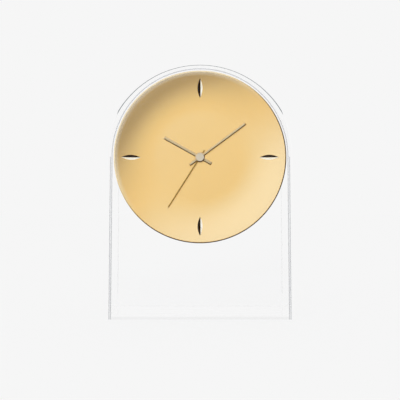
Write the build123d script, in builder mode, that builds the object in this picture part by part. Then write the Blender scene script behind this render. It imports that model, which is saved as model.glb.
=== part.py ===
from build123d import *
from math import atan2, cos, degrees, hypot, radians, sin, sqrt
import os

# Clear arch-shaped table clock with a concave gold dial and a hidden quartz movement.
# Millimetres. +Z is up, the dial looks along -Y, and the origin is the centre of the foot.

# Case
case_depth = 80.0
dial_height = 182.3
front_radius = 100.8
back_radius = 117.7
foot_half_width = 102.6
side_wall = 2.2
floor_wall = 4.1
pane = 3.0
cover_thick = 3.0
cover_ledge = 1.1
cover_clearance = 0.15

# Dial
dial_gap = 0.3
dial_clearance = 1.5
dial_lip = 1.4
dial_rim_height = 3.2
dial_lip_bevel = 1.1
dish_depth = 11.0
dish_flat_radius = 48.0
dial_thick = 2.4
dial_hole_radius = 4.15
dial_boss_height = 3.0
dial_boss_radius = 3.5
dial_boss_distance = 35.0

# Almond-shaped hour grooves, each cut by a wheel with a V edge
groove_count = 4
groove_length = 22.4
groove_width = 5.6
groove_depth = 1.9
groove_inset = 18.8

# Hands: lengths from the centre, and clock angles in degrees
hour_reach = 46.3
hour_tail = 14.9
hour_width = 3.4
hour_angle = 299.0
minute_reach = 64.0
minute_tail = 14.6
minute_width = 2.8
minute_angle = 53.5
second_reach = 66.2
second_tail = 9.5
second_width = 1.2
second_angle = 212.4
hand_thick = 1.1
hand_bevel = 0.8
second_thick = 0.5
second_bevel = 0.25
hand_gap = 0.8
hour_eye_radius = 4.6
minute_eye_radius = 3.8
second_eye_radius = 2.4
hand_fit = 0.02
cap_radius = 5.3
cap_thick = 1.8
cap_bevel = 0.8
cap_recess = 0.8

# Housing drum behind the dial
drum_wall = 2.5
drum_floor = 2.0
drum_edge_bevel = 1.5
drum_boss_radius = 3.6
drum_boss_length = 14.0
drum_boss_margin = 4.7
drum_boss_wall = 5.8
opening_margin = 0.95

# Fasteners
screw_radius = 1.5
screw_head_radius = 2.8
screw_head_thick = 1.3
screw_length = 9.0
small_screw_radius = 1.0
small_head_radius = 1.9
small_head_thick = 1.2
small_screw_length = 3.6
screw_clearance = 0.15
slot_width = 0.6
slot_depth = 0.6

# Movement module
module_drop = 1.5
module_wall = 1.5
module_round = 3.0
module_split = 8.0
ear_radius = 3.2
ear_thick = 2.0
ear_out = 3.0
ear_spread = 40.0
bay_clearance = 0.5
post_radius = 1.6
pin_radius = 0.7
pin_fit = 0.05
plate_thick = 0.8
plate_left = -17.0
plate_right = 18.0
plate_low = -10.5
plate_high = 18.5
plate_round = 2.0
post_inset = 2.0
bush_radius = 3.9
bush_fit = 0.05
bush_proud = 1.0
plate_clearance = 0.15

# Cell and its contacts
cell_radius = 7.25
cell_length = 50.5
cell_nub_radius = 2.75
cell_nub_length = 1.0
cell_bevel = 0.4
cell_clearance = 0.25
contact_thick = 0.4
contact_width = 9.0
contact_length = 11.0
contact_gap = 0.25
contact_reach = 1.0
contact_bump_radius = 2.2

# Arbors and running fits
running_fit = 0.05
pipe_fit = 0.08
arbor_radius = 0.5
minute_journal_radius = 1.25
minute_pipe_radius = 1.6
hour_pipe_radius = 2.5
stud_radius = 0.7
knob_shaft_radius = 1.2
pivot_depth = 0.8
end_shake = 0.2

# Wheels: numbers of teeth, distances between arbors and bearings seen from the front
seconds_teeth = 60
seconds_pinion_teeth = 8
third_teeth = 64
third_pinion_teeth = 8
centre_teeth = 60
rotor_pinion_teeth = 10
intermediate_teeth = 50
intermediate_pinion_teeth = 10
cannon_teeth = 12
motion_teeth = 36
motion_pinion_teeth = 10
hour_teeth = 40
third_distance = 10.8
intermediate_distance = 10.5
rotor_distance = 7.5
motion_distance = 8.4
third_bearing = 150.0
intermediate_bearing = 30.0
rotor_bearing = 60.0
motion_bearing = 0.0
knob_bearing = -20.0
wheel_thick = 0.6
pinion_thick = 1.4
hub_radius = 2.1
rotor_magnet_radius = 3.0
rotor_air_gap = 0.4
tooth_root_share = 0.58
tooth_tip_share = 0.16
addendum_share = 0.85
dedendum_share = 1.2

# Steps between the layers of the movement
wheel_step = 0.3
pinion_step = 0.5
boss_rise = 1.0
pipe_room = 1.1
plate_room = 1.1
magnet_step = 0.4
knob_boss_radius = 1.5
knob_boss_height = 2.7

# Motor and circuit
coil_clearance = 0.3
coil_middle = 11.25
coil_radius = 3.4
coil_length = 12.0
flange_thick = 0.8
flange_rise = 0.3
bobbin_wall = 0.6
core_width = 2.0
core_thick = 0.8
core_clearance = 0.1
stator_thick = 0.8
stator_ring_radius = 5.1
stator_limb_width = 4.4
stator_limb_gap = 1.2
stator_arm_width = 4.0
stator_arm_gap = 0.25
board_width = 6.0
board_length = 30.0
board_thick = 1.0
board_side = -23.0
board_middle = 7.0
board_post = 1.0
crystal_radius = 1.0
crystal_length = 6.0
crystal_gap = 0.05

# Setting knob
knob_radius = 6.0
knob_thick = 3.0
knob_gap = 0.7
knob_flutes = 16
knob_flute_radius = 0.6

overrun = 1.0

# Places worked out from the sizes above
front_face = -case_depth / 2
back_face = case_depth / 2
dial_front = front_face + pane + dial_gap
dish_front = dial_front + dish_depth
dish_back = dish_front + dial_thick
drum_front = dish_back + dial_boss_height
module_front = drum_front + drum_floor
cover_front = back_face - cover_thick
bush_front = dish_front - bush_proud
hour_hand_back = bush_front - hand_gap
hour_hand_front = hour_hand_back - hand_thick
minute_hand_back = hour_hand_front - hand_gap
minute_hand_front = minute_hand_back - hand_thick
second_hand_back = minute_hand_front - hand_gap
second_hand_front = second_hand_back - second_thick
dial_axis = Axis((0, 0, dial_height), (0, 1, 0))
dial_radius = front_radius - side_wall - dial_clearance
groove_centre = dial_radius - groove_inset
bay_half = cell_length / 2 + contact_gap + contact_reach
bay_height = 2 * (cell_radius + bay_clearance)
module_side = 2 * (bay_half + module_wall)
bay_low = module_wall - module_drop - module_side / 2
bay_high = bay_low + bay_height
rear_opening_radius = hypot(bay_half, bay_low) + opening_margin
drum_boss_distance = rear_opening_radius + drum_boss_margin
drum_radius = drum_boss_distance + drum_boss_wall
plate_middle = ((plate_left + plate_right) / 2, (plate_low + plate_high) / 2)

# Layers in the movement, measured back from its front face
pinion_over = (pinion_thick - wheel_thick) / 2
motion_pinion_layer = module_wall + boss_rise
hour_layer = motion_pinion_layer + wheel_step
cannon_layer = hour_layer + wheel_thick + pipe_room
motion_layer = cannon_layer + pinion_over
plate_front = cannon_layer + 2 * pinion_thick + plate_room
plate_back = plate_front + plate_thick
third_pinion_layer = plate_front - wheel_step - pinion_thick
centre_layer = third_pinion_layer + pinion_over
journal_layer = centre_layer - end_shake
seconds_pinion_layer = plate_back + end_shake
third_layer = seconds_pinion_layer + pinion_over
seconds_layer = seconds_pinion_layer + pinion_thick + pinion_step
intermediate_pinion_layer = seconds_layer - pinion_over
rotor_pinion_layer = intermediate_pinion_layer + pinion_thick
intermediate_layer = rotor_pinion_layer + pinion_over
rotor_magnet_layer = plate_back + magnet_step
rotor_magnet_thick = rotor_pinion_layer - wheel_step - rotor_magnet_layer
stator_layer = rotor_magnet_layer + (rotor_magnet_thick - stator_thick) / 2
train_depth = rotor_pinion_layer + pinion_thick + wheel_step
inner_back = max(train_depth, 2 * (cell_radius + cell_clearance))
module_depth = inner_back + module_wall
pivot_back = inner_back + pivot_depth - end_shake
board_layer = inner_back - board_post - board_thick
coil_side = bay_half - coil_clearance - flange_rise - coil_radius
stator_limb_side = coil_side - coil_radius - flange_rise - stator_limb_gap - stator_limb_width / 2


def upright(depth, place=(0.0, 0.0), turn=90.0):
    """Plane that faces the front at a depth, its x axis at a clock angle seen from the front."""
    along = (sin(radians(turn)), 0, cos(radians(turn)))
    return Plane(origin=(place[0], depth, dial_height + place[1]), x_dir=along, z_dir=(0, -1, 0))


def layer(back, place=(0.0, 0.0)):
    """Plane in the movement, a distance behind its front face, at an arbor's place."""
    return upright(module_front + back, place)


def at(start, distance, bearing):
    """Place at a distance and bearing from another, seen from the front."""
    return (start[0] + distance * cos(radians(bearing)), start[1] + distance * sin(radians(bearing)))


centre_place = (0.0, 0.0)
third_place = at(centre_place, third_distance, third_bearing)
intermediate_place = at(centre_place, intermediate_distance, intermediate_bearing)
rotor_place = at(intermediate_place, rotor_distance, rotor_bearing)
motion_place = at(centre_place, motion_distance, motion_bearing)
knob_place = at(motion_place, motion_distance, knob_bearing)


def gear_module(distance, teeth_a, teeth_b):
    """Tooth module of a pair from the distance between its arbors."""
    return 2 * distance / (teeth_a + teeth_b)


third_module = gear_module(third_distance, seconds_pinion_teeth, third_teeth)
centre_module = gear_module(third_distance, third_pinion_teeth, centre_teeth)
seconds_module = gear_module(intermediate_distance, seconds_teeth, intermediate_pinion_teeth)
rotor_module = gear_module(rotor_distance, intermediate_teeth, rotor_pinion_teeth)
cannon_module = gear_module(motion_distance, cannon_teeth, motion_teeth)
hour_module = gear_module(motion_distance, motion_pinion_teeth, hour_teeth)


def meshed(bearing, start_a, teeth_a, teeth_b):
    """Angle of gear b that puts its gaps on the teeth of gear a, whose first tooth is at start_a."""
    share = ((bearing - start_a) % (360 / teeth_a)) / (360 / teeth_a)
    return bearing + 180 - (1 / 2 - share) * 360 / teeth_b


third_start = meshed(third_bearing, 0.0, seconds_pinion_teeth, third_teeth)
centre_start = meshed(third_bearing + 180, third_start, third_pinion_teeth, centre_teeth)
intermediate_start = meshed(intermediate_bearing, 0.0, seconds_teeth, intermediate_pinion_teeth)
rotor_start = meshed(rotor_bearing, intermediate_start, intermediate_teeth, rotor_pinion_teeth)
motion_start = meshed(motion_bearing, 0.0, cannon_teeth, motion_teeth)
hour_start = meshed(motion_bearing + 180, motion_start, motion_pinion_teeth, hour_teeth)
knob_start = meshed(knob_bearing, motion_start, motion_teeth, cannon_teeth)


def toothed(teeth, module, start=0.0):
    """Flat outline of a wheel or pinion with straight-flanked teeth."""
    tip_radius = teeth * module / 2 + addendum_share * module
    root_radius = teeth * module / 2 - dedendum_share * module
    corners = []
    for index in range(teeth):
        for radius, share in (
            (root_radius, -tooth_root_share / 2),
            (tip_radius, -tooth_tip_share / 2),
            (tip_radius, tooth_tip_share / 2),
            (root_radius, tooth_root_share / 2),
        ):
            angle = radians(start + (index + share) * 360 / teeth)
            corners.append((radius * cos(angle), radius * sin(angle)))
    with BuildSketch() as outline:
        with BuildLine():
            Polyline(*corners, close=True)
        make_face()
    return outline.sketch


def arch_radius(depth):
    """Radius of the flared arch at a depth."""
    return front_radius + (back_radius - front_radius) * (depth - front_face) / case_depth


def half_width(height):
    """Half the width between the leaning sides at a height."""
    return foot_half_width - (foot_half_width - front_radius) * height / dial_height


def arch_block(front, back, inset, floor):
    """Solid of the case's outline: a conical arch over straight sides, drawn in by an inset."""
    crown = dial_height + back_radius
    with BuildPart() as block:
        with BuildSketch(Plane.YZ):
            with BuildLine():
                Polyline(
                    (front, dial_height),
                    (back, dial_height),
                    (back, dial_height + arch_radius(back) - inset),
                    (front, dial_height + arch_radius(front) - inset),
                    close=True,
                )
            make_face()
        revolve(axis=dial_axis)
        with BuildSketch(upright(back)):
            with Locations((0, (floor - dial_height) / 2)):
                Rectangle(2 * back_radius, dial_height - floor)
        extrude(amount=back - front)
        with BuildSketch(Plane.XZ.offset(-back)):
            with BuildLine():
                Polyline(
                    (half_width(floor) - inset, floor),
                    (half_width(crown) - inset, crown),
                    (inset - half_width(crown), crown),
                    (inset - half_width(floor), floor),
                    close=True,
                )
            make_face()
        extrude(amount=back - front, mode=Mode.INTERSECT)
    return block.part


# Clear case: front pane, arch, sides and floor in one moulding, open at the back
shell_outer = arch_block(front_face, back_face, 0, 0)
shell_room = arch_block(front_face + pane, back_face, side_wall, floor_wall)
shell_rebate = arch_block(cover_front, back_face, side_wall - cover_ledge, floor_wall - cover_ledge)
with BuildPart() as case_shell:
    add(shell_outer)
    add(shell_room, mode=Mode.SUBTRACT)
    add(shell_rebate, mode=Mode.SUBTRACT)

# Clear rear cover in the case's rebate, with the round opening for the cell and the knob
cover_inset = side_wall - cover_ledge + cover_clearance
cover_blank = arch_block(cover_front, back_face, cover_inset, floor_wall - cover_ledge + cover_clearance)
with BuildPart() as rear_cover:
    add(cover_blank)
    with BuildSketch(upright(back_face)):
        Circle(rear_opening_radius)
    extrude(amount=cover_thick, mode=Mode.SUBTRACT)
    with Locations(upright(back_face).rotated((180, 0, 0))):
        with PolarLocations(drum_boss_distance, 4, start_angle=45):
            CounterSinkHole(
                screw_radius + screw_clearance,
                screw_head_radius + screw_clearance,
                cover_thick,
                counter_sink_angle=2 * degrees(atan2(screw_head_radius - screw_radius, screw_head_thick)),
            )

# Wheel with a V edge that cuts one groove, square to the sloping dish where it stands
dish_run = dial_radius - dial_lip - dish_flat_radius
dish_arc_radius = (dish_run**2 + dish_depth**2) / (2 * dish_depth)
groove_out = groove_centre - dish_flat_radius
groove_rise = dish_arc_radius - sqrt(dish_arc_radius**2 - groove_out**2)
groove_tilt = atan2(groove_out, dish_arc_radius - groove_rise)
flat_cutter_radius = ((groove_length / 2) ** 2 + groove_depth**2) / (2 * groove_depth)
cutter_radius = 1 / (1 / flat_cutter_radius + 1 / dish_arc_radius)
cutter_lift = cutter_radius - groove_depth
cutter_depth = 2 * groove_depth
cutter_half = groove_width / 2 * cutter_depth / groove_depth
cutter_centre = (
    0,
    groove_centre - cutter_lift * sin(groove_tilt),
    groove_rise + cutter_lift * cos(groove_tilt),
)
cutter_plane = Plane(origin=cutter_centre, x_dir=(1, 0, 0), z_dir=(0, -cos(groove_tilt), -sin(groove_tilt)))
with BuildPart() as groove_cutter:
    with BuildSketch(cutter_plane):
        with BuildLine():
            Polyline(
                (0, cutter_radius),
                (cutter_half, cutter_radius - cutter_depth),
                (-cutter_half, cutter_radius - cutter_depth),
                close=True,
            )
        make_face()
    revolve(axis=Axis(cutter_centre, (1, 0, 0)))

# Dial: a flat-centred dish in a raised lip, with grooves for the hours and bosses behind.
# Its back is turned in straight cuts that keep at least the sheet's thickness.
back_arc_radius = dish_arc_radius + dial_thick
back_cosine = (dish_arc_radius - dish_depth + dial_rim_height) / back_arc_radius
back_turn = atan2(sqrt(1 - back_cosine**2), back_cosine)
front_turn = degrees(atan2(dish_run, dish_arc_radius - dish_depth))
back_corner_radius = back_arc_radius / cos(back_turn / 4)
back_corners = [
    (
        dish_front - dish_arc_radius + back_corner_radius * cos(share * back_turn),
        dial_height + dish_flat_radius + back_corner_radius * sin(share * back_turn),
    )
    for share in (1 / 4, 3 / 4)
]
with BuildPart() as dial:
    with BuildSketch(Plane.YZ):
        with BuildLine():
            arc_middle = (dish_front - dish_arc_radius, dial_height + dish_flat_radius)
            front_arc = CenterArc(arc_middle, dish_arc_radius, 0, front_turn)
            rim_back = dial_front + dial_rim_height
            rim_top = dial_height + dial_radius
            Polyline(
                front_arc @ 0,
                (dish_front, dial_height),
                (dish_back, dial_height),
                *back_corners,
                (rim_back, dial_height + dish_flat_radius + back_arc_radius * sin(back_turn)),
                (rim_back, rim_top),
                (dial_front, rim_top),
                front_arc @ 1,
            )
        make_face()
    revolve(axis=dial_axis)
    lip_edge = dial.edges().filter_by(GeomType.CIRCLE).group_by(Axis.Y)[0].sort_by(SortBy.RADIUS)[-1]
    chamfer(lip_edge, dial_lip_bevel)
    with BuildSketch(upright(drum_front)):
        with PolarLocations(dial_boss_distance, 4):
            Circle(dial_boss_radius)
    extrude(amount=dial_boss_height)
    with BuildSketch(upright(drum_front)):
        with PolarLocations(dial_boss_distance, 4):
            Circle(small_screw_radius)
    extrude(amount=dial_boss_height - end_shake, mode=Mode.SUBTRACT)
    with Locations(upright(dish_front)):
        with PolarLocations(0, groove_count):
            add(groove_cutter.part, mode=Mode.SUBTRACT)
    with BuildSketch(upright(dish_back)):
        Circle(dial_hole_radius)
    extrude(amount=dial_thick, mode=Mode.SUBTRACT)

# Housing drum: carries the dial in front, the movement inside, and is screwed to the rear cover
with BuildPart() as dial_housing:
    with BuildSketch(upright(cover_front)):
        Circle(drum_radius)
    extrude(amount=cover_front - drum_front)
    chamfer(dial_housing.edges().group_by(Axis.Y)[0], drum_edge_bevel)
    with BuildSketch(upright(cover_front)):
        Circle(drum_radius - drum_wall)
    extrude(amount=cover_front - module_front, mode=Mode.SUBTRACT)
    with BuildSketch(upright(cover_front)):
        with PolarLocations(drum_boss_distance, 4, start_angle=45):
            Circle(drum_boss_radius)
    extrude(amount=drum_boss_length)
    with BuildSketch(upright(cover_front)):
        with PolarLocations(drum_boss_distance, 4, start_angle=45):
            Circle(screw_radius)
    extrude(amount=screw_length, mode=Mode.SUBTRACT)
    with BuildSketch(upright(module_front)):
        Circle(bush_radius + bush_fit)
        with PolarLocations(dial_boss_distance, 4):
            Circle(small_screw_radius + screw_clearance)
        with Locations((0, -module_drop)):
            with GridLocations(module_side + 2 * ear_out, ear_spread, 2, 2):
                Circle(small_screw_radius)
    extrude(amount=drum_floor, mode=Mode.SUBTRACT)


def screw(plane, radius, length, head_radius, head_thick, sunk):
    """Screw whose head faces along the plane's normal, with a cross slot; its shank runs below."""
    seat = -head_thick if sunk else 0
    with BuildPart() as fastener:
        with BuildSketch(plane.offset(seat)):
            Circle(radius if sunk else head_radius)
        if sunk:
            with BuildSketch(plane):
                Circle(head_radius)
            loft()
        else:
            extrude(amount=head_thick)
        with BuildSketch(plane.offset(seat)):
            Circle(radius)
        extrude(amount=-length)
        with BuildSketch(plane.offset(seat + head_thick)):
            Rectangle(slot_width, head_radius)
            Rectangle(head_radius, slot_width)
        extrude(amount=-slot_depth, mode=Mode.SUBTRACT)
    return fastener.part


# Four countersunk screws through the rear cover into the drum
housing_screw = screw(Plane.XY, screw_radius, screw_length - end_shake - cover_thick + screw_head_thick,
                      screw_head_radius, screw_head_thick, True)
with BuildPart() as housing_screws:
    with Locations(upright(back_face).rotated((180, 0, 0))):
        with PolarLocations(drum_boss_distance, 4, start_angle=45):
            add(housing_screw)

# Small screws: four through the drum's floor into the dial, four through the movement's ears
small_screw = screw(Plane.XY, small_screw_radius, small_screw_length, small_head_radius,
                    small_head_thick, False)
with BuildPart() as dial_screws:
    with Locations(upright(module_front).rotated((180, 0, 0))):
        with PolarLocations(dial_boss_distance, 4):
            add(small_screw)
with BuildPart() as movement_screws:
    with Locations(upright(module_front + ear_thick).rotated((180, 0, 0))):
        with Locations((0, module_drop)):
            with GridLocations(module_side + 2 * ear_out, ear_spread, 2, 2):
                add(small_screw)

# Front case of the movement: floor, walls, the front half of the cell's bay, posts and bearings
post_places = [
    (plate_left + post_inset, plate_low + post_inset),
    (plate_left + post_inset, plate_high - post_inset),
    (plate_right - post_inset, plate_low + post_inset),
    (plate_right - post_inset, plate_high - post_inset),
]
with BuildPart() as movement_front_case:
    with BuildSketch(upright(module_front + module_split)):
        with Locations((0, -module_drop)):
            RectangleRounded(module_side, module_side, module_round)
    extrude(amount=module_split)
    with BuildSketch(upright(module_front + module_split)):
        with Locations((0, (bay_low + bay_high) / 2)):
            Rectangle(2 * bay_half, bay_height)
        with Locations((0, (bay_high + module_wall - module_drop + module_side / 2 - module_wall) / 2)):
            Rectangle(2 * bay_half, module_side - 3 * module_wall - bay_height)
    extrude(amount=module_split - module_wall, mode=Mode.SUBTRACT)
    with BuildSketch(layer(ear_thick)):
        with Locations((0, -module_drop)):
            with GridLocations(module_side + 2 * ear_out, ear_spread, 2, 2):
                Circle(ear_radius)
            with GridLocations(module_side + ear_out, ear_spread, 2, 2):
                Rectangle(ear_out, 2 * ear_radius)
        with Locations((0, -module_drop)):
            with GridLocations(module_side + 2 * ear_out, ear_spread, 2, 2):
                Circle(small_screw_radius + screw_clearance, mode=Mode.SUBTRACT)
            Rectangle(module_side, module_side, mode=Mode.SUBTRACT)
    extrude(amount=ear_thick)
    with BuildSketch(layer(plate_front)):
        with Locations(*post_places):
            Circle(post_radius)
    extrude(amount=plate_front - module_wall)
    with BuildSketch(layer(plate_back)):
        with Locations(*post_places):
            Circle(pin_radius)
    extrude(amount=plate_thick)
    with BuildSketch(layer(motion_pinion_layer - end_shake, motion_place)):
        Circle(2 * stud_radius)
    extrude(amount=motion_pinion_layer - end_shake - module_wall)
    with BuildSketch(layer(motion_layer + 2 * wheel_thick, motion_place)):
        Circle(stud_radius)
    extrude(amount=motion_layer + 2 * wheel_thick - module_wall)
    with BuildSketch(layer(module_wall + knob_boss_height, knob_place)):
        Circle(knob_boss_radius)
        Circle(stud_radius + running_fit, mode=Mode.SUBTRACT)
    extrude(amount=knob_boss_height)
    with BuildSketch(layer(module_wall, third_place)):
        Circle(arbor_radius + running_fit)
    extrude(amount=pivot_depth, mode=Mode.SUBTRACT)
    with BuildSketch(layer(module_wall)):
        Circle(bush_radius + bush_fit)
    extrude(amount=module_wall, mode=Mode.SUBTRACT)

# Brass bush through the movement, the drum and the dial
with BuildPart() as centre_bush:
    with BuildSketch(layer(module_wall)):
        Circle(bush_radius)
        Circle(hour_pipe_radius + pipe_fit, mode=Mode.SUBTRACT)
    extrude(amount=module_front + module_wall - bush_front)

# Train plate on four posts: bearings for the minute arbor, the intermediate wheel and the rotor
with BuildPart() as train_plate:
    with BuildSketch(layer(plate_back)):
        with Locations(plate_middle):
            RectangleRounded(plate_right - plate_left, plate_high - plate_low, plate_round)
        with Locations(*post_places):
            Circle(pin_radius + pin_fit, mode=Mode.SUBTRACT)
        Circle(minute_journal_radius + running_fit, mode=Mode.SUBTRACT)
        with Locations(third_place):
            Circle(arbor_radius + plate_clearance, mode=Mode.SUBTRACT)
        with Locations(intermediate_place, rotor_place):
            Circle(arbor_radius + running_fit, mode=Mode.SUBTRACT)
        with Locations(knob_place):
            Circle(knob_shaft_radius + plate_clearance, mode=Mode.SUBTRACT)
    extrude(amount=plate_thick)

# Back case of the movement: walls, a back over the train, and posts for the motor and the board
pad_low = coil_middle - coil_length / 2 - stator_arm_gap - stator_arm_width / 2
pad_high = coil_middle + coil_length / 2 + stator_arm_gap + stator_arm_width / 2
stator_pads = [(coil_side, pad_low), (coil_side, pad_high)]
board_ends = [
    (board_side, board_middle - board_length / 2 + post_inset),
    (board_side, board_middle + board_length / 2 - post_inset),
]
train_blind = [centre_place, third_place, intermediate_place, rotor_place]
with BuildPart() as movement_back_case:
    with BuildSketch(layer(module_depth)):
        with Locations((0, -module_drop)):
            RectangleRounded(module_side, module_side, module_round)
        with Locations((0, (bay_low + bay_high) / 2)):
            Rectangle(2 * bay_half, bay_height, mode=Mode.SUBTRACT)
    extrude(amount=module_depth - module_split)
    with BuildSketch(layer(inner_back)):
        with Locations((0, (bay_high + module_wall - module_drop + module_side / 2 - module_wall) / 2)):
            Rectangle(2 * bay_half, module_side - 3 * module_wall - bay_height)
    extrude(amount=inner_back - module_split, mode=Mode.SUBTRACT)
    with BuildSketch(layer(inner_back)):
        with Locations(*stator_pads):
            Circle(post_radius)
    extrude(amount=inner_back - stator_layer - stator_thick)
    with BuildSketch(layer(stator_layer + stator_thick)):
        with Locations(*stator_pads):
            Circle(pin_radius)
    extrude(amount=stator_thick + core_thick)
    with BuildSketch(layer(inner_back)):
        with Locations(*board_ends):
            Circle(post_radius)
    extrude(amount=inner_back - board_layer - board_thick)
    with BuildSketch(layer(board_layer + board_thick)):
        with Locations(*board_ends):
            Circle(pin_radius)
    extrude(amount=board_thick)
    with BuildSketch(layer(inner_back + pivot_depth)):
        with Locations(*train_blind):
            Circle(arbor_radius + running_fit)
    extrude(amount=pivot_depth, mode=Mode.SUBTRACT)
    with BuildSketch(layer(module_depth, knob_place)):
        Circle(knob_shaft_radius + running_fit)
    extrude(amount=module_wall, mode=Mode.SUBTRACT)

# Stepping motor: stator, core, bobbin and winding
with BuildPart() as stator:
    with BuildSketch(layer(stator_layer + stator_thick)):
        with Locations(rotor_place):
            Circle(stator_ring_radius)
        with Locations((stator_limb_side, coil_middle)):
            Rectangle(stator_limb_width, pad_high - pad_low + stator_arm_width)
        for pad in stator_pads:
            with Locations(((stator_limb_side + coil_side) / 2, pad[1])):
                Rectangle(coil_side - stator_limb_side, stator_arm_width)
            with Locations(pad):
                Circle(stator_arm_width / 2)
        with Locations(rotor_place):
            Circle(rotor_magnet_radius + rotor_air_gap, mode=Mode.SUBTRACT)
        with Locations(*stator_pads):
            Circle(pin_radius + pin_fit, mode=Mode.SUBTRACT)
    extrude(amount=stator_thick)
with BuildPart() as coil_core:
    with BuildSketch(layer(stator_layer)):
        with Locations((coil_side, coil_middle)):
            Rectangle(core_width, pad_high - pad_low + stator_arm_width)
        with Locations(*stator_pads):
            Circle(stator_arm_width / 2)
            Circle(pin_radius + pin_fit, mode=Mode.SUBTRACT)
    extrude(amount=core_thick)
coil_plane = Plane(
    origin=(coil_side, module_front + stator_layer - core_thick / 2, dial_height + coil_middle - coil_length / 2),
    x_dir=(1, 0, 0),
    z_dir=(0, 0, 1),
)
tube_width = core_width + 2 * core_clearance
tube_thick = core_thick + 2 * core_clearance
barrel_radius = sqrt((tube_width / 2) ** 2 + (tube_thick / 2) ** 2) + bobbin_wall
with BuildPart() as coil_bobbin:
    with BuildSketch(coil_plane):
        Circle(barrel_radius)
    extrude(amount=coil_length)
    with BuildSketch(coil_plane, coil_plane.offset(coil_length - flange_thick)):
        Circle(coil_radius + flange_rise)
    extrude(amount=flange_thick)
    with BuildSketch(coil_plane):
        Rectangle(tube_width, tube_thick)
    extrude(amount=coil_length, mode=Mode.SUBTRACT)
with BuildPart() as coil_winding:
    with BuildSketch(coil_plane.offset(flange_thick)):
        Circle(coil_radius)
        Circle(barrel_radius, mode=Mode.SUBTRACT)
    extrude(amount=coil_length - 2 * flange_thick)

# Circuit board on its two posts, with the quartz crystal's can on its face
with BuildPart() as circuit_board:
    with BuildSketch(layer(board_layer + board_thick)):
        with Locations((board_side, board_middle)):
            Rectangle(board_width, board_length)
        with Locations(*board_ends):
            Circle(pin_radius + pin_fit, mode=Mode.SUBTRACT)
    extrude(amount=board_thick)
crystal_plane = Plane(
    origin=(board_side, module_front + board_layer - crystal_gap - crystal_radius, dial_height + board_middle),
    x_dir=(1, 0, 0),
    z_dir=(0, 0, 1),
)
with BuildPart() as quartz_crystal:
    with BuildSketch(crystal_plane):
        Circle(crystal_radius)
    extrude(amount=crystal_length)

# Cell and its contacts in the bay
cell_layer = module_wall + cell_clearance + cell_radius
cell_place = (bay_low + bay_high) / 2
cell_plane = Plane(
    origin=(-cell_length / 2, module_front + cell_layer, dial_height + cell_place),
    x_dir=(0, 1, 0),
    z_dir=(1, 0, 0),
)
with BuildPart() as battery:
    with BuildSketch(cell_plane):
        Circle(cell_radius)
    extrude(amount=cell_length - cell_nub_length)
    chamfer(battery.edges().filter_by(GeomType.CIRCLE), cell_bevel)
    with BuildSketch(cell_plane.offset(cell_length - cell_nub_length)):
        Circle(cell_nub_radius)
    extrude(amount=cell_nub_length)


def contact(side, reach):
    """Contact leaf on an end wall of the bay, its bump reaching towards the cell."""
    face = Plane(
        origin=(side * bay_half, module_front + cell_layer, dial_height + cell_place),
        x_dir=(0, 1, 0),
        z_dir=(-side, 0, 0),
    )
    with BuildPart() as leaf:
        with BuildSketch(face):
            Rectangle(contact_length, contact_width)
        extrude(amount=contact_thick)
        with BuildSketch(face.offset(contact_thick)):
            Circle(contact_bump_radius)
        extrude(amount=reach - contact_thick, taper=20)
    return leaf.part


contact_plus_leaf = contact(1, contact_reach)
contact_minus_leaf = contact(-1, contact_reach)
with BuildPart() as contact_plus:
    add(contact_plus_leaf)
with BuildPart() as contact_minus:
    add(contact_minus_leaf)


def barrel(place, front, back, radius, bore=0.0):
    """Round bar or tube between two layers of the movement."""
    with BuildPart() as tube:
        with BuildSketch(layer(back, place)):
            Circle(radius)
            if bore:
                Circle(bore, mode=Mode.SUBTRACT)
        extrude(amount=back - front)
    return tube.part


def gear(place, front, thick, teeth, module, start=0.0, bore=0.0):
    """Toothed ring in a layer of the movement, round a bore."""
    outline = toothed(teeth, module, start)
    with BuildPart() as ring:
        with BuildSketch(layer(front + thick, place)):
            add(outline)
            if bore:
                Circle(bore, mode=Mode.SUBTRACT)
        extrude(amount=thick)
    return ring.part


def train_wheel(*pieces):
    """Wheel, pinion and arbor joined in one moulding."""
    with BuildPart() as moulding:
        for piece in pieces:
            add(piece)
    return moulding.part


# Going train, from the rotor to the minute arbor's wheel
rotor_parts = train_wheel(
    barrel(rotor_place, plate_front + end_shake, pivot_back, arbor_radius),
    gear(rotor_place, rotor_pinion_layer, pinion_thick, rotor_pinion_teeth, rotor_module, rotor_start),
)
with BuildPart() as rotor_pinion:
    add(rotor_parts)
with BuildPart() as rotor_magnet:
    with BuildSketch(layer(rotor_magnet_layer + rotor_magnet_thick, rotor_place)):
        Circle(rotor_magnet_radius)
        Circle(arbor_radius + hand_fit, mode=Mode.SUBTRACT)
    extrude(amount=rotor_magnet_thick)
intermediate_parts = train_wheel(
    barrel(intermediate_place, plate_front + end_shake, pivot_back, arbor_radius),
    gear(intermediate_place, intermediate_pinion_layer, intermediate_layer - intermediate_pinion_layer,
         intermediate_pinion_teeth, seconds_module,
         meshed(intermediate_bearing, 0.0, seconds_teeth, intermediate_pinion_teeth)),
    gear(intermediate_place, intermediate_layer, wheel_thick, intermediate_teeth, rotor_module,
         intermediate_start),
)
with BuildPart() as intermediate_wheel:
    add(intermediate_parts)
seconds_parts = train_wheel(
    gear(centre_place, seconds_pinion_layer, pinion_thick, seconds_pinion_teeth, third_module, 0.0,
         arbor_radius + hand_fit),
    barrel(centre_place, seconds_pinion_layer + pinion_thick, seconds_layer + 2 * wheel_thick, hub_radius,
           arbor_radius + hand_fit),
    gear(centre_place, seconds_layer, wheel_thick, seconds_teeth, seconds_module, 0.0,
         arbor_radius + hand_fit),
)
with BuildPart() as seconds_wheel:
    add(seconds_parts)
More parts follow.
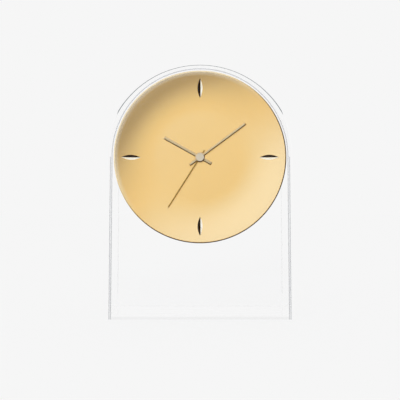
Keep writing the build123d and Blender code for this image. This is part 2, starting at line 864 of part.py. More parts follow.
third_parts = train_wheel(
    barrel(third_place, module_wall - pivot_depth + end_shake, pivot_back, arbor_radius),
    gear(third_place, third_layer, wheel_thick, third_teeth, third_module, third_start),
    gear(third_place, third_pinion_layer, pinion_thick, third_pinion_teeth, centre_module, third_start),
)
with BuildPart() as third_wheel:
    add(third_parts)
centre_parts = train_wheel(
    gear(centre_place, centre_layer, wheel_thick, centre_teeth, centre_module, centre_start,
         minute_journal_radius + pipe_fit),
    barrel(centre_place, centre_layer + wheel_thick, plate_front - end_shake, hub_radius,
           minute_journal_radius + pipe_fit),
)
with BuildPart() as centre_wheel:
    add(centre_parts)

# Motion work: the minute arbor with its cannon pinion, the motion wheel and the hour wheel
with BuildPart() as minute_arbor:
    with BuildSketch(layer(journal_layer)):
        Circle(minute_pipe_radius)
    extrude(amount=module_front + journal_layer - minute_hand_front)
    with BuildSketch(layer(plate_back - end_shake / 2)):
        Circle(minute_journal_radius)
    extrude(amount=plate_back - end_shake / 2 - journal_layer)
    add(gear(centre_place, cannon_layer, pinion_thick, cannon_teeth, cannon_module))
    with BuildSketch(layer(plate_back)):
        Circle(arbor_radius + pipe_fit)
    extrude(amount=plate_back + module_front - minute_hand_front + overrun, mode=Mode.SUBTRACT)
with BuildPart() as motion_wheel:
    add(gear(motion_place, motion_layer, wheel_thick, motion_teeth, cannon_module, motion_start))
    add(gear(motion_place, motion_pinion_layer, motion_layer - motion_pinion_layer,
             motion_pinion_teeth, hour_module, motion_start))
    with BuildSketch(layer(motion_layer + wheel_thick, motion_place)):
        Circle(stud_radius + running_fit)
    extrude(amount=motion_layer + wheel_thick - motion_pinion_layer, mode=Mode.SUBTRACT)
with BuildPart() as hour_wheel:
    add(gear(centre_place, hour_layer, wheel_thick, hour_teeth, hour_module, hour_start))
    with BuildSketch(layer(hour_layer)):
        Circle(bush_radius)
    extrude(amount=hour_layer - module_wall - end_shake)
    with BuildSketch(layer(cannon_layer - end_shake)):
        Circle(hour_pipe_radius)
    extrude(amount=module_front + cannon_layer - end_shake - hour_hand_front)
    with BuildSketch(layer(cannon_layer)):
        Circle(minute_pipe_radius + pipe_fit)
    extrude(amount=module_front + cannon_layer - hour_hand_front + overrun, mode=Mode.SUBTRACT)

# Setting knob behind the movement, its pinion in mesh with the motion wheel
knob_front = module_depth + knob_gap
with BuildPart() as setting_knob:
    with BuildSketch(layer(knob_front + knob_thick, knob_place)):
        Circle(knob_radius)
        with PolarLocations(knob_radius, knob_flutes):
            Circle(knob_flute_radius, mode=Mode.SUBTRACT)
    extrude(amount=knob_thick)
    with BuildSketch(layer(knob_front, knob_place)):
        Circle(knob_shaft_radius)
    extrude(amount=knob_front - cannon_layer)
    add(gear(knob_place, cannon_layer, pinion_thick, cannon_teeth, cannon_module, knob_start))
    with BuildSketch(layer(cannon_layer, knob_place)):
        Circle(stud_radius)
    extrude(amount=cannon_layer - module_wall - end_shake)


def hand(back, thick, bevel, reach, tail, width, angle, eye_radius, bore):
    """Flat bar hand with bevelled front edges, an eye and a tail, along a clock angle."""
    with BuildPart() as bar:
        with BuildSketch(upright(back, turn=angle)):
            with Locations(((reach - tail) / 2, 0)):
                Rectangle(reach + tail, width)
            Circle(eye_radius)
            Circle(bore, mode=Mode.SUBTRACT)
        extrude(amount=thick)
        front_edges = bar.faces().sort_by(Axis.Y)[0].outer_wire().edges()
        chamfer(front_edges, bevel)
    return bar.part


# Hands on their pipes, and the cap over them
hour_bar = hand(hour_hand_back, hand_thick, hand_bevel, hour_reach, hour_tail, hour_width, hour_angle,
                hour_eye_radius, hour_pipe_radius + hand_fit)
minute_bar = hand(minute_hand_back, hand_thick, hand_bevel, minute_reach, minute_tail, minute_width,
                  minute_angle, minute_eye_radius, minute_pipe_radius + hand_fit)
second_bar = hand(second_hand_back, second_thick, second_bevel, second_reach, second_tail, second_width,
                  second_angle, second_eye_radius, arbor_radius + hand_fit)
with BuildPart() as hour_hand:
    add(hour_bar)
with BuildPart() as minute_hand:
    add(minute_bar)
with BuildPart() as second_hand:
    add(second_bar)
with BuildPart() as hub_cap:
    with BuildSketch(upright(second_hand_front)):
        Circle(cap_radius)
    extrude(amount=cap_thick)
    chamfer(hub_cap.edges().group_by(Axis.Y)[0], cap_bevel)
    with BuildSketch(upright(second_hand_front)):
        Circle(arbor_radius + hand_fit)
    extrude(amount=cap_recess, mode=Mode.SUBTRACT)
with BuildPart() as seconds_arbor:
    with BuildSketch(layer(pivot_back)):
        Circle(arbor_radius)
    extrude(amount=module_front + pivot_back - second_hand_front + cap_recess - hand_fit)

pieces = {
    "case_shell": case_shell,
    "rear_cover": rear_cover,
    "dial": dial,
    "dial_housing": dial_housing,
    "housing_screws": housing_screws,
    "dial_screws": dial_screws,
    "movement_screws": movement_screws,
    "movement_front_case": movement_front_case,
    "movement_back_case": movement_back_case,
    "centre_bush": centre_bush,
    "train_plate": train_plate,
    "stator": stator,
    "coil_core": coil_core,
    "coil_bobbin": coil_bobbin,
    "coil_winding": coil_winding,
    "circuit_board": circuit_board,
    "quartz_crystal": quartz_crystal,
    "battery": battery,
    "contact_plus": contact_plus,
    "contact_minus": contact_minus,
    "rotor_magnet": rotor_magnet,
    "rotor_pinion": rotor_pinion,
    "intermediate_wheel": intermediate_wheel,
    "seconds_wheel": seconds_wheel,
    "seconds_arbor": seconds_arbor,
    "third_wheel": third_wheel,
    "centre_wheel": centre_wheel,
    "minute_arbor": minute_arbor,
    "motion_wheel": motion_wheel,
    "hour_wheel": hour_wheel,
    "setting_knob": setting_knob,
    "hour_hand": hour_hand,
    "minute_hand": minute_hand,
    "second_hand": second_hand,
    "hub_cap": hub_cap,
}
os.makedirs("parts", exist_ok=True)
for name, piece in pieces.items():
    piece.part.label = name
    export_step(piece.part, f"parts/{name}.step")
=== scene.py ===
import math

import bpy
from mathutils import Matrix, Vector

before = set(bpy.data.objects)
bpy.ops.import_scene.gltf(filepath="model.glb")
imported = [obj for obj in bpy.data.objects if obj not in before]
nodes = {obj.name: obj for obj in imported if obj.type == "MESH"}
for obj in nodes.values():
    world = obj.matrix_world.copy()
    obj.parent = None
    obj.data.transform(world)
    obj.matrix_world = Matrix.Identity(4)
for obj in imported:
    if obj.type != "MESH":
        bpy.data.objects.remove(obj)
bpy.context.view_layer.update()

MM = 0.001
ACROSS = (1, 0, 0)
BACKWARDS = (0, 1, 0)
UPWARDS = (0, 0, 1)

# Places on the part; radii and heights are measured from the dial's axis
DIAL_HEIGHT = 182.3 * MM
CASE_FRONT = -40 * MM
CASE_BACK = 40 * MM
COVER_FRONT = 37 * MM
FRONT_RADIUS = 100.8 * MM
SIDE_LEAN = 1.8 / 182.3
TOUCHING = 0.05 * MM

# Border of the rear cover that rests in the case
ROOM_HALF_WIDTH = 98.5 * MM
ROOM_RADIUS = 114.8 * MM
FLOOR_WALL = 4.2 * MM
OPENING_REACH = 80 * MM
UPRIGHT_TURN = 0.5

# Painted shade lines on the front and back faces of the clear case, standing in for what its
# edges show
LINE_PAINTED_SHADE = (0.43, 0.44, 0.46)
INNER_LINE_INSET = 2.3 * MM
OUTER_LINE_INSET = 0.55 * MM
LINE_HALF = 0.55 * MM
FOOT_LINE_HEIGHT = 3 * MM
FOOT_LINE_SHARE = 0.18
BACK_LINE_WIDTH = 0.6 * MM
BACK_LINE_TOP = -100 * MM
BACK_LINE_SHARE = 0.4

# Painted grey line of the roof's back edge, standing in for what that edge shows
EDGE_PAINTED_GREY = (0.22, 0.24, 0.25)
EDGE_GRAZING = 0.93
EDGE_START = 22 * MM
EDGE_OUTSIDE = 0.1

# Clear plastic
CLEAR_IOR = 1.49
CLEAR_SHEEN = 0.15
BOUNCES = 40

# Grooves of the dial: where they lie, and the painted shade, painted shadow, painted highlight
# and painted glow on their flanks
GROOVE_HALF = 4.5 * MM
GROOVE_START = 60 * MM
FLANK_TURN = 0.12
FLANK_PAINTED_SHADOW_WIDTH = 0.6 * MM
FLANK_MATT = 0.85
FLANK_PAINTED_SHADE = (0.035, 0.015, 0.003)
FLANK_PAINTED_HIGHLIGHT = (0.98, 0.94, 0.8)
FLANK_PAINTED_GLOW = 0.35
FLANK_PAINTED_GLOW_COLOUR = (1.0, 0.9, 0.62)

# Rim of the dial: painted shade on its bevel away from the key light, and a painted highlight on
# a band inside it towards the key light
RIM_BEVEL_START = 95.9 * MM
RIM_FACING = -0.3
RIM_PAINTED_SHADE = (0.06, 0.03, 0.01)
RIM_PAINTED_SHADE_FADE = (-0.3, 0.5)
RIM_PAINTED_HIGHLIGHT_BAND = (91.5 * MM, 95.0 * MM)
RIM_PAINTED_HIGHLIGHT = (1.0, 0.82, 0.5)
RIM_PAINTED_HIGHLIGHT_FADE = (0.0, 0.6)
RIM_MATT = 0.35

# Bevels of the hands and hub cap: painted shade where they turn from the key light, painted
# highlight where they turn to it, and how far they turn to or from the key light before their
# tone changes
EDGE_TURN = 0.15
HAND_EDGE_PAINTED_LIGHT = ((0.07, 0.022, 0.0), (0.86, 0.72, 0.46))

# Grains of the surfaces: noise scales in object space, and bump strengths and heights
METAL_CLOUD = (18.0, 3.0)
METAL_GRAIN = 900.0
METAL_BUMP = (0.15, 0.02 * MM)
DIAL_CLOUD = (14.0, 3.0)
DIAL_BUMP = (0.1, 0.02 * MM)
PLASTIC_CLOUD = (25.0, 3.0)
PLASTIC_GRAIN = 1400.0
PLASTIC_BUMP = (0.25, 0.04 * MM)
WIRE_GRAIN = 2500.0
WIRE_STRETCH = (0.2, 0.2, 1.0)
JACKET_GRAIN = 300.0
JACKET_BUMP = (0.25, 0.01 * MM)

# Studio
BACKGROUND = (0.9216, 0.9216, 0.9216)
SOFT_LIGHT = (0.95, 0.95, 0.95)
KEY_SIDE = (-0.669, 0.0, 0.743)
ROOM_BACK = (-0.3, 0.0)
FLOOR_REACH = 6.0
FLOOR_PALE = (0.93, 0.93, 0.93)
FLOOR_GLOW = 0.94
FLOOR_ROOM_CENTRE = (-0.05, -0.03, 0.24)
FLOOR_ROOM_BACK = (-0.25, -0.08)
LAMPS = (
    ("key", (-0.9, -1.5, 1.5), (1.2, 1.2), 4),
    ("fill", (1.3, -1.6, 0.6), (1.0, 1.6), 1),
)
CAMERA_PLACE = (0, -0.8589, 0.1339)
CAMERA_LENS = 65.8
CAMERA_SENSOR = 36.0

# Room in front of the clock, as its metal sees it: pale towards the key light, dim away from it
ROOM = (
    (0.0, (0.02, 0.02, 0.02)),
    (0.06, (0.03, 0.03, 0.03)),
    (0.1, (0.3, 0.32, 0.4)),
    (0.15, (0.62, 0.68, 0.9)),
    (0.18, (0.56, 0.61, 0.84)),
    (0.205, (0.44, 0.46, 0.58)),
    (0.235, (0.38, 0.39, 0.46)),
    (0.262, (0.38, 0.39, 0.43)),
    (0.304, (0.56, 0.58, 0.7)),
    (0.38, (0.82, 0.86, 0.94)),
    (0.46, (0.97, 0.97, 0.98)),
    (0.5, (1.0, 1.0, 1.0)),
    (0.56, (0.97, 1.06, 1.32)),
    (0.62, (1.02, 1.16, 1.62)),
    (0.68, (1.06, 1.24, 1.88)),
    (0.76, (1.08, 1.29, 2.02)),
    (1.0, (1.08, 1.29, 2.02)),
)


def tree_of(owner):
    """Emptied node tree of a material or a world."""
    owner.use_nodes = True
    tree = owner.node_tree
    tree.nodes.clear()
    return tree


def principled(name):
    """New material with a Principled BSDF; returns the material, its tree and the shader."""
    material = bpy.data.materials.new(name)
    tree = tree_of(material)
    output = tree.nodes.new("ShaderNodeOutputMaterial")
    shader = tree.nodes.new("ShaderNodeBsdfPrincipled")
    tree.links.new(shader.outputs["BSDF"], output.inputs["Surface"])
    return material, tree, shader


def noise(tree, scale, detail=2.0, stretch=None):
    """Value of a noise texture in object space, which is the row frame, in metres."""
    coords = tree.nodes.new("ShaderNodeTexCoord")
    texture = tree.nodes.new("ShaderNodeTexNoise")
    texture.inputs["Scale"].default_value = scale
    texture.inputs["Detail"].default_value = detail
    place = coords.outputs["Object"]
    if stretch:
        mapping = tree.nodes.new("ShaderNodeMapping")
        mapping.inputs["Scale"].default_value = stretch
        tree.links.new(place, mapping.inputs["Vector"])
        place = mapping.outputs["Vector"]
    tree.links.new(place, texture.inputs["Vector"])
    return texture.outputs["Fac"]


def steps(tree, source, stops):
    """Colour ramp with any number of stops, each a place from 0 to 1 and a colour."""
    node = tree.nodes.new("ShaderNodeValToRGB")
    elements = node.color_ramp.elements
    while len(elements) < len(stops):
        elements.new(0.5)
    for element, (place, colour) in zip(elements, stops):
        element.position = place
        element.color = (*colour, 1)
    tree.links.new(source, node.inputs["Fac"])
    return node.outputs["Color"]


def span(tree, source, low, high):
    """A texture's value stretched to a range."""
    node = tree.nodes.new("ShaderNodeMapRange")
    node.inputs["To Min"].default_value = low
    node.inputs["To Max"].default_value = high
    tree.links.new(source, node.inputs["Value"])
    return node.outputs["Result"]


def reach_of(tree, source, start, end):
    """0 up to a start, 1 from an end, and straight between them."""
    node = tree.nodes.new("ShaderNodeMapRange")
    node.inputs["From Min"].default_value = start
    node.inputs["From Max"].default_value = end
    tree.links.new(source, node.inputs["Value"])
    return node.outputs["Result"]


def bump(tree, shader, source, strength, distance):
    """Bump from a texture's value."""
    node = tree.nodes.new("ShaderNodeBump")
    node.inputs["Strength"].default_value = strength
    node.inputs["Distance"].default_value = distance
    tree.links.new(source, node.inputs["Height"])
    tree.links.new(node.outputs["Normal"], shader.inputs["Normal"])


def feed(tree, value, socket):
    """Gives a socket a number, a vector or another socket's value."""
    if isinstance(value, (int, float, tuple)):
        socket.default_value = value
    else:
        tree.links.new(value, socket)


def maths(tree, operation, *values):
    """Result of a Math node."""
    node = tree.nodes.new("ShaderNodeMath")
    node.operation = operation
    for slot, value in enumerate(values):
        feed(tree, value, node.inputs[slot])
    return node.outputs[0]


def vectors(tree, operation, *values):
    """Vector Math node with its inputs."""
    node = tree.nodes.new("ShaderNodeVectorMath")
    node.operation = operation
    for slot, value in enumerate(values):
        feed(tree, value, node.inputs[slot])
    return node.outputs


def along(tree, vector, direction):
    """Share of a vector that lies along a direction."""
    return vectors(tree, "DOT_PRODUCT", vector, direction)["Value"]


def product(tree, *values):
    """The values multiplied; of shares from 0 to 1, where all of them hold."""
    result = values[0]
    for value in values[1:]:
        result = maths(tree, "MULTIPLY", result, value)
    return result


def largest(tree, *values):
    """Largest of the values; of shares from 0 to 1, where one of them holds."""
    result = values[0]
    for value in values[1:]:
        result = maths(tree, "MAXIMUM", result, value)
    return result


def above(tree, value, limit):
    """1 where a value is over a limit, otherwise 0."""
    return maths(tree, "GREATER_THAN", value, limit)


def below(tree, value, limit):
    """1 where a value is under a limit, otherwise 0."""
    return maths(tree, "LESS_THAN", value, limit)


def close_to(tree, value, middle, reach):
    """1 where a value is within a reach of a middle, otherwise 0."""
    return maths(tree, "COMPARE", value, middle, reach)


def all_but(tree, share):
    """What a share from 0 to 1 leaves."""
    return maths(tree, "SUBTRACT", 1.0, share)


def size_along(tree, vector, direction):
    """Share of a vector that lies along a direction, without its sign."""
    return maths(tree, "ABSOLUTE", along(tree, vector, direction))


def normal_of(tree):
    """True normal of the point."""
    return tree.nodes.new("ShaderNodeNewGeometry").outputs["True Normal"]


def place_of(tree):
    """Place of the point, with heights measured from the dial's centre."""
    place = tree.nodes.new("ShaderNodeNewGeometry").outputs["Position"]
    return vectors(tree, "SUBTRACT", place, (0, 0, DIAL_HEIGHT))["Vector"]


def radius_of(tree, place):
    """Distance of a place from the dial's axis."""
    across = along(tree, place, ACROSS)
    up = along(tree, place, UPWARDS)
    squares = maths(tree, "ADD", product(tree, across, across), product(tree, up, up))
    return maths(tree, "SQRT", squares)


def side_of(tree, place):
    """Distance of a place from the middle, with the lean of the side walls taken out."""
    lean = product(tree, along(tree, place, UPWARDS), SIDE_LEAN)
    return maths(tree, "ADD", size_along(tree, place, ACROSS), lean)


def blend(tree, share, first, second):
    """Colour between two colours or sockets."""
    node = tree.nodes.new("ShaderNodeMix")
    node.data_type = "RGBA"
    tree.links.new(share, node.inputs["Factor"])
    for slot, value in (("A", first), ("B", second)):
        socket = [i for i in node.inputs if i.name == slot and i.type == "RGBA"][0]
        feed(tree, (*value, 1) if isinstance(value, tuple) else value, socket)
    return [o for o in node.outputs if o.type == "RGBA"][0]


def mixed(tree, share, first, second):
    """Shader between two shaders."""
    node = tree.nodes.new("ShaderNodeMixShader")
    tree.links.new(share, node.inputs["Fac"])
    tree.links.new(first, node.inputs[1])
    tree.links.new(second, node.inputs[2])
    return node.outputs["Shader"]


def ray_kinds(tree):
    """1 for camera rays, 1 for rays of metal and glass, and 1 for rays that nothing reflected."""
    path = tree.nodes.new("ShaderNodeLightPath")
    passed_on = largest(tree, path.outputs["Is Glossy Ray"], path.outputs["Is Transmission Ray"])
    unreflected = below(tree, path.outputs["Glossy Depth"], 0.5)
    return path.outputs["Is Camera Ray"], passed_on, unreflected


def cloud(tree, spread, low, high, colours):
    """Two colours of a surface, softly mixed by a broad noise."""
    return steps(tree, noise(tree, *spread), ((low, colours[0]), (high, colours[1])))


def metal(name, colour, shade, roughness, grain=METAL_GRAIN, stretch=None, edge=None):
    """Satin metal: a little colour variation, a fine grain, and, where edge colours are given,
    painted shade on the edges turned away from the key light and a painted highlight on those
    turned towards it."""
    material, tree, shader = principled(name)
    shader.inputs["Metallic"].default_value = 1.0
    tone = cloud(tree, METAL_CLOUD, 0.35, 0.65, (shade, colour))
    if edge:
        turned = along(tree, normal_of(tree), KEY_SIDE)
        # painted shade on faces turned from the key light, painted highlight on faces turned to
        # it
        tone = blend(tree, below(tree, turned, -EDGE_TURN), tone, edge[0])
        tone = blend(tree, above(tree, turned, EDGE_TURN), tone, edge[1])
    tree.links.new(tone, shader.inputs["Base Color"])
    fine = noise(tree, grain, 2.0, stretch)
    tree.links.new(span(tree, fine, *roughness), shader.inputs["Roughness"])
    bump(tree, shader, fine, *METAL_BUMP)
    return material


def plastic(name, colour, shade, roughness, grain=PLASTIC_GRAIN, relief=PLASTIC_BUMP):
    """Moulded plastic: fine spark-eroded grain and a little colour variation."""
    material, tree, shader = principled(name)
    tone = cloud(tree, PLASTIC_CLOUD, 0.3, 0.7, (shade, colour))
    tree.links.new(tone, shader.inputs["Base Color"])
    fine = noise(tree, grain)
    tree.links.new(span(tree, fine, *roughness), shader.inputs["Roughness"])
    bump(tree, shader, fine, *relief)
    return material


def groove_flank_painted_light(tree, normal, place):
    """Masks of painted shade on the grooves' flanks turned down or to the right, with a painted
    shadow reaching a little past the bottom of the standing grooves, and of painted highlight on
    the other flanks.
    """
    across = size_along(tree, place, ACROSS)
    up = size_along(tree, place, UPWARDS)
    standing = product(tree, below(tree, across, GROOVE_HALF), above(tree, up, GROOVE_START))
    lying = product(tree, below(tree, up, GROOVE_HALF), above(tree, across, GROOVE_START))
    right = product(tree, standing, along(tree, normal, ACROSS))
    turned = maths(tree, "SUBTRACT", right, product(tree, lying, along(tree, normal, UPWARDS)))
    on_flank = above(tree, maths(tree, "ABSOLUTE", turned), FLANK_TURN)
    # painted shadow: on the standing grooves the dark flank's shade reaches 0.6 mm past the
    # bottom into the pale flank
    painted_shadow_strip = product(tree, standing, below(tree, along(tree, place, ACROSS), FLANK_PAINTED_SHADOW_WIDTH))
    painted_shade = product(tree, on_flank, largest(tree, above(tree, turned, 0.0), painted_shadow_strip))
    return painted_shade, maths(tree, "SUBTRACT", on_flank, painted_shade)


def rim_painted_light(tree, normal, place):
    """Painted shade on the rim's bevel away from the key light, and painted highlight on the band
    inside it towards the key light.
    """
    radius = radius_of(tree, place)
    to_key = maths(tree, "DIVIDE", along(tree, place, KEY_SIDE), radius)
    facing = below(tree, along(tree, normal, BACKWARDS), RIM_FACING)
    away = all_but(tree, reach_of(tree, to_key, *RIM_PAINTED_SHADE_FADE))
    painted_shade = product(tree, above(tree, radius, RIM_BEVEL_START), facing, away)
    band = reach_of(tree, radius, *RIM_PAINTED_HIGHLIGHT_BAND)
    return painted_shade, product(tree, band, reach_of(tree, to_key, *RIM_PAINTED_HIGHLIGHT_FADE))


def dish_metal(name, colour, shade, roughness):
    """Satin gold dish, with painted shade, painted shadow, painted highlight and painted glow on
    its grooves' flanks, and painted shade and painted highlight on its rim.
    """
    material, tree, shader = principled(name)
    gold = cloud(tree, DIAL_CLOUD, 0.3, 0.7, (shade, colour))
    normal = normal_of(tree)
    place = place_of(tree)
    painted_shade_flank, painted_highlight_flank = groove_flank_painted_light(tree, normal, place)
    painted_shade_rim, painted_highlight_rim = rim_painted_light(tree, normal, place)
    # painted shade on the flanks turned down or to the right, painted highlight on the other
    # flanks
    tone = blend(tree, painted_shade_flank, gold, FLANK_PAINTED_SHADE)
    tone = blend(tree, painted_highlight_flank, tone, FLANK_PAINTED_HIGHLIGHT)
    # painted highlight on the band inside the rim, then painted shade on the rim's bevel
    tone = blend(tree, painted_highlight_rim, tone, RIM_PAINTED_HIGHLIGHT)
    tone = blend(tree, painted_shade_rim, tone, RIM_PAINTED_SHADE)
    tree.links.new(tone, shader.inputs["Base Color"])
    matt = largest(
        tree,
        product(tree, painted_highlight_flank, FLANK_MATT),
        product(tree, painted_highlight_rim, RIM_MATT),
    )
    tree.links.new(all_but(tree, matt), shader.inputs["Metallic"])
    # painted glow on the pale, lit flanks of the grooves
    shader.inputs["Emission Color"].default_value = (*FLANK_PAINTED_GLOW_COLOUR, 1)
    tree.links.new(product(tree, painted_highlight_flank, FLANK_PAINTED_GLOW), shader.inputs["Emission Strength"])
    fine = noise(tree, METAL_GRAIN)
    tree.links.new(span(tree, fine, *roughness), shader.inputs["Roughness"])
    bump(tree, shader, fine, *DIAL_BUMP)
    return material


def painted_outline_lines(tree):
    """Thin lines of painted shade on the clear case's faces, from 0 to 1, by place, standing in
    for what its edges show.
    """
    place = place_of(tree)
    depth = along(tree, place, BACKWARDS)
    up = along(tree, place, UPWARDS)
    arch = above(tree, up, 0.0)
    straight = all_but(tree, arch)
    in_arch = product(tree, radius_of(tree, place), arch)
    reach = maths(tree, "ADD", in_arch, product(tree, side_of(tree, place), straight))
    inset = maths(tree, "SUBTRACT", FRONT_RADIUS, reach)
    inner = close_to(tree, inset, INNER_LINE_INSET, LINE_HALF)
    outer = product(tree, close_to(tree, inset, OUTER_LINE_INSET, LINE_HALF), straight)
    foot = product(tree, below(tree, up, FOOT_LINE_HEIGHT - DIAL_HEIGHT), FOOT_LINE_SHARE)
    at_front = close_to(tree, depth, CASE_FRONT, TOUCHING)
    front = product(tree, at_front, largest(tree, inner, outer, foot))
    at_back = close_to(tree, depth, CASE_BACK, TOUCHING)
    low = product(tree, below(tree, inset, BACK_LINE_WIDTH), below(tree, up, BACK_LINE_TOP))
    return largest(tree, front, product(tree, at_back, low, BACK_LINE_SHARE))


def painted_roof_edge_line(tree):
    """1 on the flared roof near its back edge, where it is seen at a grazing angle and gets a
    painted grey line.
    """
    facing = tree.nodes.new("ShaderNodeLayerWeight")
    facing.inputs["Blend"].default_value = 0.5
    grazing = above(tree, facing.outputs["Facing"], EDGE_GRAZING)
    near_back = above(tree, along(tree, place_of(tree), BACKWARDS), EDGE_START)
    outside = above(tree, along(tree, normal_of(tree), UPWARDS), EDGE_OUTSIDE)
    return product(tree, grazing, near_back, outside)


def edge_faces(tree, place, side):
    """1 on the faces round the rear cover's edge: side 1 for those turned outwards, -1 for
    those turned inwards."""
    normal = normal_of(tree)
    deep = above(tree, along(tree, place, BACKWARDS), COVER_FRONT - TOUCHING)
    upright = below(tree, size_along(tree, normal, BACKWARDS), UPRIGHT_TURN)
    turned = product(tree, along(tree, normal, place), side)
    return product(tree, deep, upright, above(tree, turned, 0.0))


def case_joint(tree):
    """1 on the step in the case that holds the rear cover."""
    place = place_of(tree)
    step = close_to(tree, along(tree, place, BACKWARDS), COVER_FRONT, TOUCHING)
    return largest(tree, step, edge_faces(tree, place, -1.0))


def cover_joint(tree):
    """1 where the rear cover rests in the case, round its border."""
    place = place_of(tree)
    radius = radius_of(tree, place)
    up = along(tree, place, UPWARDS)
    side = above(tree, side_of(tree, place), ROOM_HALF_WIDTH)
    arch = product(tree, above(tree, radius, ROOM_RADIUS), above(tree, up, 0.0))
    foot = below(tree, up, FLOOR_WALL - DIAL_HEIGHT)
    step = close_to(tree, along(tree, place, BACKWARDS), COVER_FRONT, TOUCHING)
    border = product(tree, step, largest(tree, side, arch, foot))
    edge = product(tree, edge_faces(tree, place, 1.0), above(tree, radius, OPENING_REACH))
    return largest(tree, border, edge)


def clear(name, joined, painted_lines=None, edge=None):
    """Polished clear acrylic; shadow rays pass, and faces that touch another clear piece don't
    refract; painted shade lines and a painted grey line at the roof's back edge are mixed in
    where given."""
    material, tree, shader = principled(name)
    shader.inputs["Base Color"].default_value = (1, 1, 1, 1)
    shader.inputs["Roughness"].default_value = 0.0
    shader.inputs["IOR"].default_value = CLEAR_IOR
    shader.inputs["Transmission Weight"].default_value = 1.0
    shader.inputs["Specular Tint"].default_value = (CLEAR_SHEEN, CLEAR_SHEEN, CLEAR_SHEEN, 1)
    look = shader.outputs["BSDF"]
    if painted_lines:
        # painted shade lines tinted into the clear colour
        painted_tint = blend(tree, painted_lines(tree), (1.0, 1.0, 1.0), LINE_PAINTED_SHADE)
        tree.links.new(painted_tint, shader.inputs["Base Color"])
    if edge:
        # painted grey line at the roof's back edge
        painted_grey = tree.nodes.new("ShaderNodeBsdfDiffuse")
        painted_grey.inputs["Color"].default_value = (*EDGE_PAINTED_GREY, 1)
        look = mixed(tree, edge(tree), look, painted_grey.outputs["BSDF"])
    path = tree.nodes.new("ShaderNodeLightPath")
    passing = largest(tree, path.outputs["Is Shadow Ray"], joined(tree))
    through = tree.nodes.new("ShaderNodeBsdfTransparent")
    look = mixed(tree, passing, look, through.outputs["BSDF"])
    tree.links.new(look, tree.nodes["Material Output"].inputs["Surface"])
    return material


def dress(node, material):
    """Puts a material on every slot of a CAD node."""
    data = nodes[node].data
    if data.materials:
        for index in range(len(data.materials)):
            data.materials[index] = material
    else:
        data.materials.append(material)


case_clear = clear("clear_acrylic", case_joint, painted_outline_lines, painted_roof_edge_line)
cover_clear = clear("clear_cover", cover_joint)
dial_gold = dish_metal("dial_satin_gold", (0.93, 0.62, 0.23), (0.91, 0.6, 0.22), (0.2, 0.25))
drum_gold = metal("drum_satin_gold", (0.62, 0.44, 0.2), (0.58, 0.4, 0.18), (0.4, 0.5))
champagne = metal(
    "hand_champagne", (0.664, 0.512, 0.25), (0.63, 0.485, 0.235), (0.3, 0.38), edge=HAND_EDGE_PAINTED_LIGHT
)
cap_champagne = metal(
    "cap_champagne", (0.74, 0.625, 0.42), (0.7, 0.59, 0.39), (0.3, 0.38), edge=HAND_EDGE_PAINTED_LIGHT
)
second_gold = metal("second_brown_gold", (0.44, 0.26, 0.04), (0.38, 0.22, 0.035), (0.35, 0.45))
steel = metal("plain_steel", (0.6, 0.6, 0.58), (0.52, 0.52, 0.5), (0.25, 0.4))
brass = metal("turned_brass", (0.72, 0.53, 0.22), (0.66, 0.47, 0.19), (0.22, 0.35))
copper = metal(
    "wound_copper", (0.72, 0.28, 0.11), (0.55, 0.2, 0.08), (0.25, 0.4), WIRE_GRAIN, WIRE_STRETCH
)
black = plastic(
    "black_moulding", (0.018, 0.018, 0.019), (0.011, 0.011, 0.012), (0.42, 0.6)
)
white = plastic("white_moulding", (0.78, 0.78, 0.74), (0.7, 0.7, 0.66), (0.35, 0.5))
board = plastic("green_board", (0.015, 0.11, 0.045), (0.01, 0.07, 0.03), (0.3, 0.45))
jacket = plastic(
    "cell_jacket",
    (0.03, 0.03, 0.033),
    (0.02, 0.02, 0.022),
    (0.25, 0.35),
    JACKET_GRAIN,
    JACKET_BUMP,
)

looks = {
    "case_shell": case_clear,
    "rear_cover": cover_clear,
    "dial": dial_gold,
    "dial_housing": drum_gold,
    "housing_screws": steel,
    "dial_screws": steel,
    "movement_screws": steel,
    "movement_front_case": black,
    "movement_back_case": black,
    "centre_bush": brass,
    "train_plate": black,
    "stator": steel,
    "coil_core": steel,
    "coil_bobbin": white,
    "coil_winding": copper,
    "circuit_board": board,
    "quartz_crystal": steel,
    "battery": jacket,
    "contact_plus": steel,
    "contact_minus": steel,
    "rotor_magnet": steel,
    "rotor_pinion": white,
    "intermediate_wheel": white,
    "seconds_wheel": white,
    "seconds_arbor": steel,
    "third_wheel": white,
    "centre_wheel": white,
    "minute_arbor": brass,
    "motion_wheel": white,
    "hour_wheel": white,
    "setting_knob": black,
    "hour_hand": champagne,
    "minute_hand": champagne,
    "second_hand": second_gold,
    "hub_cap": cap_champagne,
}
for node, material in looks.items():
    dress(node, material)


def room_colour(tree, direction):
    """Colour of the room in a direction."""
    towards_key = along(tree, direction, KEY_SIDE)
    return steps(tree, maths(tree, "MULTIPLY_ADD", towards_key, 0.5, 0.5), ROOM)


# Floor: as pale as the background, plainly lit, and the room goes on in it for reflected rays
floor_mesh = bpy.data.meshes.new("floor")
corners = ((-1, -1), (1, -1), (1, 1), (-1, 1))
floor_corners = [(x * FLOOR_REACH, y * FLOOR_REACH, 0) for x, y in corners]
floor_mesh.from_pydata(floor_corners, [], [(0, 1, 2, 3)])
floor = bpy.data.objects.new("floor", floor_mesh)
bpy.context.scene.collection.objects.link(floor)
floor_look = bpy.data.materials.new("floor")
tree = tree_of(floor_look)
output = tree.nodes.new("ShaderNodeOutputMaterial")
glow = tree.nodes.new("ShaderNodeEmission")
matt = tree.nodes.new("ShaderNodeBsdfDiffuse")
matt.inputs["Color"].default_value = (*FLOOR_PALE, 1)
straight, passed_on, unreflected = ray_kinds(tree)
place = tree.nodes.new("ShaderNodeNewGeometry").outputs["Position"]
from_dial = vectors(tree, "SUBTRACT", place, FLOOR_ROOM_CENTRE)["Vector"]
direction = vectors(tree, "NORMALIZE", from_dial)["Vector"]
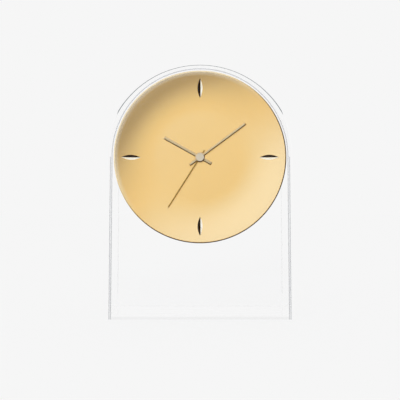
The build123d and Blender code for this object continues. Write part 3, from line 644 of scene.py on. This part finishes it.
near = reach_of(tree, along(tree, place, BACKWARDS), *FLOOR_ROOM_BACK)
plain = largest(tree, near, straight, unreflected)
shown = blend(tree, plain, room_colour(tree, direction), BACKGROUND)
tree.links.new(shown, glow.inputs["Color"])
share = product(tree, largest(tree, straight, passed_on), FLOOR_GLOW)
base = mixed(tree, share, matt.outputs["BSDF"], glow.outputs["Emission"])
tree.links.new(base, output.inputs["Surface"])
floor_mesh.materials.append(floor_look)

# World: the plain background behind the clock, and the room in front of it for reflected rays
world = bpy.data.worlds.new("studio")
bpy.context.scene.world = world
tree = tree_of(world)
output = tree.nodes.new("ShaderNodeOutputWorld")
plain = tree.nodes.new("ShaderNodeBackground")
plain.inputs["Color"].default_value = (*BACKGROUND, 1)
soft = tree.nodes.new("ShaderNodeBackground")
soft.inputs["Color"].default_value = (*SOFT_LIGHT, 1)
room = tree.nodes.new("ShaderNodeBackground")
direction = tree.nodes.new("ShaderNodeTexCoord").outputs["Generated"]
tree.links.new(room_colour(tree, direction), room.inputs["Color"])
straight, passed_on, unreflected = ray_kinds(tree)
behind = reach_of(tree, along(tree, direction, BACKWARDS), *ROOM_BACK)
backdrop = largest(tree, behind, unreflected)
share = largest(tree, straight, product(tree, passed_on, backdrop))
lit = mixed(tree, passed_on, soft.outputs["Background"], room.outputs["Background"])
seen = mixed(tree, share, lit, plain.outputs["Background"])
tree.links.new(seen, output.inputs["Surface"])


def softbox(name, place, size, power):
    """Rectangular area lamp that faces the dial's centre and shows in no reflection."""
    data = bpy.data.lights.new(name, "AREA")
    data.shape = "RECTANGLE"
    data.size, data.size_y = size
    data.energy = power
    lamp = bpy.data.objects.new(name, data)
    lamp.visible_glossy = False
    lamp.visible_transmission = False
    lamp.location = place
    direction = Vector((0, 0, DIAL_HEIGHT)) - Vector(place)
    lamp.rotation_mode = "QUATERNION"
    lamp.rotation_quaternion = direction.to_track_quat("-Z", "Y")
    bpy.context.scene.collection.objects.link(lamp)


for lamp in LAMPS:
    softbox(*lamp)

# Camera at the photograph's angle: level, square to the clock, a little under the dial's centre
camera_data = bpy.data.cameras.new("camera")
camera_data.lens = CAMERA_LENS
camera_data.sensor_width = CAMERA_SENSOR
camera = bpy.data.objects.new("camera", camera_data)
camera.location = CAMERA_PLACE
camera.rotation_euler = (math.pi / 2, 0, 0)
bpy.context.scene.collection.objects.link(camera)
bpy.context.scene.camera = camera

# Light runs far along the inside of clear walls before it leaves them
cycles = bpy.context.scene.cycles
cycles.max_bounces = BOUNCES
cycles.glossy_bounces = BOUNCES
cycles.transmission_bounces = BOUNCES
cycles.transparent_max_bounces = BOUNCES

bpy.context.scene.view_settings.view_transform = "Standard"
